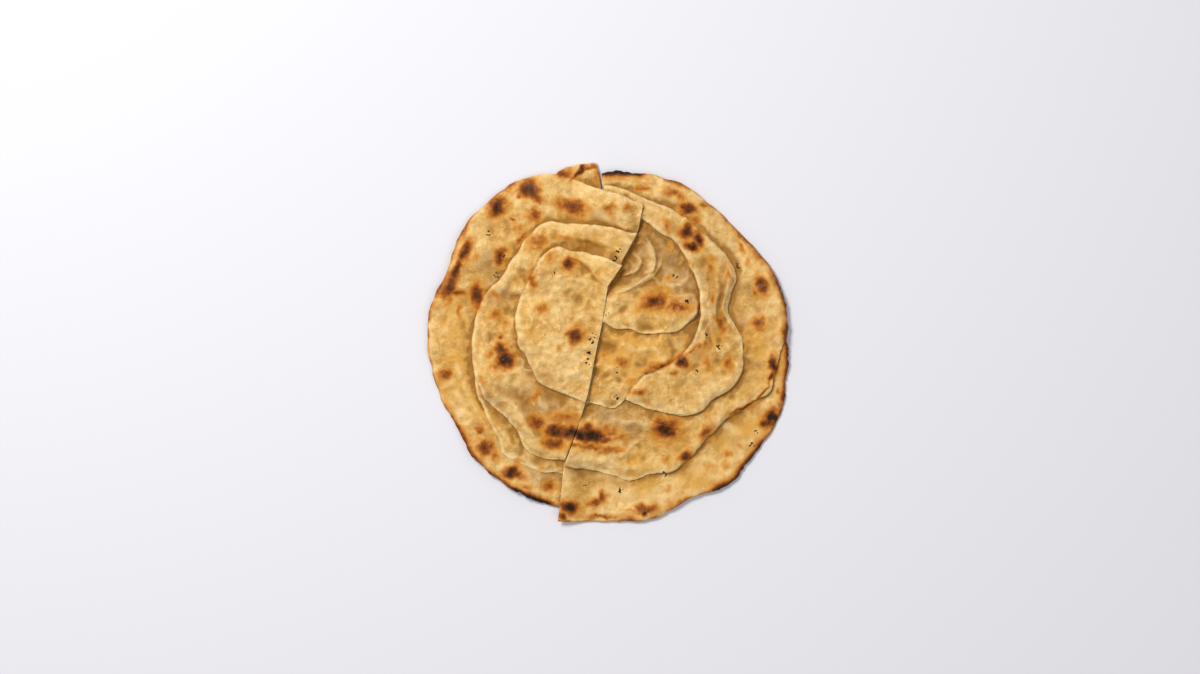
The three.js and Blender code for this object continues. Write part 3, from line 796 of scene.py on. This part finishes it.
def sheet_mesh(number, sheet):
    """Vertices, triangles, colour fields and UV islands of one closed sheet of dough."""
    (top_xy, top_faces), (low_xy, low_faces) = plan_meshes(number, sheet)
    xy = np.vstack([top_xy, low_xy])
    up = np.arange(len(xy)) < len(top_xy)
    edge = distance(xy, sheet.points_on("lip", "rim", "hidden"))
    cut = distance(xy, sheet.points_on("cut"))
    above, under = colour_fields(sheet, top_xy, False), colour_fields(sheet, low_xy, sheet.base)
    fields = {name: np.concatenate([above[name], under[name]]) for name in above}
    z = heights(sheet, xy, up, edge, cut, fields["toast"])
    # The painted shade fades out on a lip's own edge.
    fields["hollow_shade"] = fields["hollow_shade"] * ramp(edge, 0.2, 2.4)
    # A painted highlight along each lip, and the pale crumb along the knife cut.
    fields["lip"] = np.maximum(0.85 * np.exp(-((edge - 0.8) / 1.1) ** 2), np.exp(-(cut / 0.4) ** 2))
    faces = np.vstack([top_faces, low_faces[:, ::-1] + len(top_xy)])
    islands = np.full(len(faces), UNDERSIDE if sheet.base else HIDDEN)
    centres = top_xy[top_faces].mean(axis=1)
    islands[:len(top_faces)] = np.where(sample(TOPMOST_NEAR, centres) > number + 0.01, HIDDEN, SHOWN)
    return welded(np.column_stack([xy, z]), faces, fields, islands)


def welded(verts, faces, fields, islands):
    """The same, with vertices that share a place made one."""
    _, first, where = np.unique(np.round(verts, 4), axis=0, return_index=True, return_inverse=True)
    faces = where.ravel()[faces]
    whole = (faces[:, 0] != faces[:, 1]) & (faces[:, 1] != faces[:, 2]) & (faces[:, 0] != faces[:, 2])
    fields = {name: values[first] for name, values in fields.items()}
    return verts[first], faces[whole], fields, islands[whole]


def joined(parts):
    """One set of vertices, triangles, fields and islands from several."""
    starts = np.cumsum([0] + [len(part[0]) for part in parts[:-1]])
    verts = np.vstack([part[0] for part in parts])
    faces = np.vstack([part[1] + start for part, start in zip(parts, starts)])
    fields = {name: np.concatenate([part[2][name] for part in parts]) for name in parts[0][2]}
    return verts, faces, fields, np.concatenate([part[3] for part in parts])


def new_object(name, data):
    """A new object in the scene."""
    thing = bpy.data.objects.new(name, data)
    bpy.context.scene.collection.objects.link(thing)
    return thing


def make_half(name, half):
    """A Blender object of one half: all its sheets, in one mesh."""
    parts = [sheet_mesh(number, sheet) for number, sheet in enumerate(SHEETS) if sheet.half == half]
    verts, faces, fields, islands = joined(parts)
    mesh = bpy.data.meshes.new(name)
    mesh.from_pydata((verts * MM).tolist(), [], faces.tolist())
    for field, values in fields.items():
        mesh.attributes.new(field, "FLOAT", "POINT").data.foreach_set("value", values.astype(np.float32))
    place = ISLANDS[islands].repeat(3, axis=0)
    uv = (verts[faces.ravel(), :2] - verts[:, :2].min(axis=0)) * place[:, 2:] + place[:, :2]
    mesh.uv_layers.new(name="OFBake").data.foreach_set("uv", uv.ravel().astype(np.float32))
    mesh.shade_smooth()
    return new_object(name, mesh)


# ---- the crust's material

def rgb(code):
    """A linear colour with alpha, from an sRGB hex code."""
    parts = [int(code[i:i + 2], 16) / 255 for i in (1, 3, 5)]
    return (*[p / 12.92 if p <= 0.04045 else ((p + 0.055) / 1.055) ** 2.4 for p in parts], 1)


CRUST = bpy.data.materials.new("baked_dough")
CRUST.use_nodes = True
TREE = CRUST.node_tree


def add(kind, inputs, **settings):
    """A new node in the crust's material. Each input is a value, or another node's output to link."""
    node = TREE.nodes.new(kind)
    for name, value in settings.items():
        setattr(node, name, value)
    for name, value in inputs.items():
        if isinstance(value, bpy.types.NodeSocket):
            TREE.links.new(value, node.inputs[name])
        else:
            node.inputs[name].default_value = value
    return node


# The place on the bread, in mm.
PLACE = add("ShaderNodeVectorMath", {0: add("ShaderNodeTexCoord", {}).outputs["Object"], 1: (1 / MM,) * 3},
            operation="MULTIPLY").outputs[0]


def attribute(name):
    """A field stored on the mesh."""
    return add("ShaderNodeAttribute", {}, attribute_name=name).outputs["Fac"]


def grain(size, detail=3.0, roughness=0.55):
    """Noise from 0 to 1, with features of this size in mm."""
    inputs = {"Vector": PLACE, "Scale": 1 / size, "Detail": detail, "Roughness": roughness}
    return add("ShaderNodeTexNoise", inputs).outputs["Fac"]


def maths(operation, a, b):
    """The result of one operation on two values."""
    return add("ShaderNodeMath", {0: a, 1: b}, operation=operation).outputs[0]


def times(a, b):
    """The product of two values."""
    return maths("MULTIPLY", a, b)


def spread(value, low, high, to_low=0.0, to_high=1.0):
    """The value, moved from one range to another and kept within it."""
    inputs = {"Value": value, "From Min": low, "From Max": high, "To Min": to_low, "To Max": to_high}
    return add("ShaderNodeMapRange", inputs).outputs["Result"]


def blend(factor, a, b):
    """Colour a, mixed towards colour b."""
    return add("ShaderNodeMix", {0: factor, 6: a, 7: b}, data_type="RGBA").outputs[2]


def colours(factor, stops):
    """A colour ramp. Each stop is a position, a colour and an alpha."""
    node = add("ShaderNodeValToRGB", {"Fac": factor})
    band = node.color_ramp
    while len(band.elements) < len(stops):
        band.elements.new(0.5)
    for element, (position, code, alpha) in zip(band.elements, stops):
        element.position = position
        element.color = (*rgb(code)[:3], alpha)
    return node


def dots(spacing, radius, share):
    """Small round dots: 1 on a dot and 0 off it, on this share of the cells."""
    cells = add("ShaderNodeTexVoronoi", {"Vector": PLACE, "Scale": 1 / spacing})
    chosen = maths("LESS_THAN", maths("FRACT", cells.outputs["Color"], 0), share)
    near = spread(cells.outputs["Distance"], radius / spacing, 0.5 * radius / spacing)
    return times(near, chosen)


def paint_crust():
    """Baked dough: cream to ochre, toasted in spots, with a painted highlight on its torn lips and pale
    crumb at the cut, painted shade in its hollows, and oily places.
    """
    shader = TREE.nodes["Principled BSDF"]
    TREE.links.new(toasted_colour(dough_colour()), shader.inputs["Base Color"])
    uneven = spread(grain(3), 0.35, 0.65, 0.57, 0.4)
    shine = times(attribute("oil"), 0.27)
    TREE.links.new(maths("SUBTRACT", uneven, shine), shader.inputs["Roughness"])
    TREE.links.new(crust_bump(), shader.inputs["Normal"])
    looks = {"Specular IOR Level": 0.3, "Specular Tint": rgb(GLINT_COLOUR), "Subsurface Weight": 0.12,
             "Subsurface Radius": (1.0, 0.5, 0.2), "Subsurface Scale": 1.5 * MM}
    for name, value in looks.items():
        shader.inputs[name].default_value = value


def dough_colour():
    """The dough between its toasted spots."""
    broad, middle, fine = grain(12), grain(4), grain(0.9)
    tone = maths("ADD", times(broad, 0.4), times(middle, 0.38))
    tone = maths("ADD", tone, times(fine, 0.22))
    colour = colours(tone, DOUGH).outputs["Color"]
    uneven = spread(middle, 0.35, 0.65, 0.35, 0.95)
    # The pale field also carries a painted highlight on raised crests.
    for name, code in (("grey_brown", GREY_BROWN_COLOUR), ("yellow", YELLOW_COLOUR), ("pale", PALE_COLOUR)):
        colour = blend(times(attribute(name), uneven), colour, rgb(code))
    # Painted shade in the hollows and at the foot of each lip.
    hollow_shade = spread(attribute("hollow_shade"), 0.06, 1.0, 0, 0.85)
    colour = blend(hollow_shade, colour, rgb(HOLLOW_SHADE_COLOUR))
    # A painted highlight along the lips, and the pale crumb along the knife cut.
    lip_highlight_and_crumb = times(attribute("lip"), spread(middle, 0.35, 0.6, 0.2, 0.8))
    colour = blend(lip_highlight_and_crumb, colour, rgb(LIP_HIGHLIGHT_AND_CRUMB_COLOUR))
    faint_dots = times(dots(spacing=2.6, radius=0.34, share=0.3), 0.5)
    return blend(faint_dots, colour, rgb(DOT_COLOUR))


def toasted_colour(colour):
    """The colour with toast, char and loose crumbs over it."""
    toast = attribute("toast")
    broken = maths("SUBTRACT", grain(2.2, 4, 0.6), 0.5)
    broken = times(broken, spread(toast, 0.08, 0.4, 0.12, 0.6))
    stain = colours(maths("ADD", toast, broken), TOAST)
    colour = blend(stain.outputs["Alpha"], colour, stain.outputs["Color"])
    flecks = spread(grain(1.3, 0), 0.58, 0.62)
    crumbs = times(flecks, spread(attribute("crumbs"), 0.4, 0.5))
    return blend(crumbs, colour, rgb(CRUMB_COLOUR))


def creases(size, width):
    """Thin wavy lines, 1 on a line and 0 off it, wherever noise of this size passes through its middle."""
    off = maths("ABSOLUTE", maths("SUBTRACT", grain(size, 2), 0.5), 0)
    return spread(off, width, 0)


def bump(height, depth, strength, under=None):
    """The surface's normal with this height added, on top of another bump's normal if one is given."""
    inputs = {"Height": height, "Distance": depth * MM, "Strength": strength}
    if under:
        inputs["Normal"] = under
    return add("ShaderNodeBump", inputs).outputs["Normal"]


def crust_bump():
    """The skin of the crust: blisters, thin creases here and there, and a fine grain."""
    blisters = bump(grain(3.2, 5, 0.62), 0.7, 0.45)
    here = spread(grain(9), 0.42, 0.6)
    lines = maths("ADD", creases(11, 0.03), creases(5, 0.04))
    creased = bump(times(lines, here), 0.3, 0.6, blisters)
    return bump(grain(0.6, 3), 0.12, 0.5, creased)


# ---- stage, lights and camera

def make_floor():
    """A plain pale floor."""
    mesh = bpy.data.meshes.new("floor")
    corners = [(x * FLOOR_HALF * MM, y * FLOOR_HALF * MM) for x, y in ((-1, -1), (1, -1), (1, 1), (-1, 1))]
    mesh.from_pydata([(x, y, FLOOR_HEIGHT * MM) for x, y in corners], [], [(0, 1, 2, 3)])
    floor = new_object("floor", mesh)
    material = bpy.data.materials.new("pale_floor")
    material.use_nodes = True
    shader = material.node_tree.nodes["Principled BSDF"]
    shader.inputs["Base Color"].default_value = rgb(FLOOR_COLOUR)
    shader.inputs["Roughness"].default_value = 0.8
    mesh.materials.append(material)


def add_light(name, place, size, power):
    """A square softbox that faces the middle of the bread."""
    light = bpy.data.lights.new(name, "AREA")
    light.size = size
    light.energy = power
    lamp = new_object(name, light)
    lamp.location = place
    lamp.rotation_euler = Vector(place).to_track_quat("Z", "Y").to_euler()


def light_scene():
    """A soft key light from the back left, a weak fill, and an even sky."""
    for light in LIGHTS:
        add_light(*light)
    world = bpy.data.worlds.new("even_sky")
    world.use_nodes = True
    sky = world.node_tree.nodes["Background"]
    sky.inputs["Color"].default_value = rgb(SKY_COLOUR)
    sky.inputs["Strength"].default_value = SKY_STRENGTH
    bpy.context.scene.world = world
    bpy.context.scene.view_settings.view_transform = "Standard"


def place_camera():
    """Straight above the bread, with the back of the knife cut at the top of the picture."""
    lens = bpy.data.cameras.new("camera")
    lens.lens = LENS
    lens.sensor_width = SENSOR
    camera = new_object("camera", lens)
    camera.location = (VIEW_CENTRE[0] * MM, VIEW_CENTRE[1] * MM, VIEW_WIDTH * MM * LENS / SENSOR)
    bpy.context.scene.camera = camera


paint_crust()
for half_name in ("left", "right"):
    bread = make_half(half_name + "_half_bread", half_name)
    bread.data.materials.append(CRUST)
    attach(bread, "root")
    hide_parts(half_name + "_half")
make_floor()
light_scene()
place_camera()
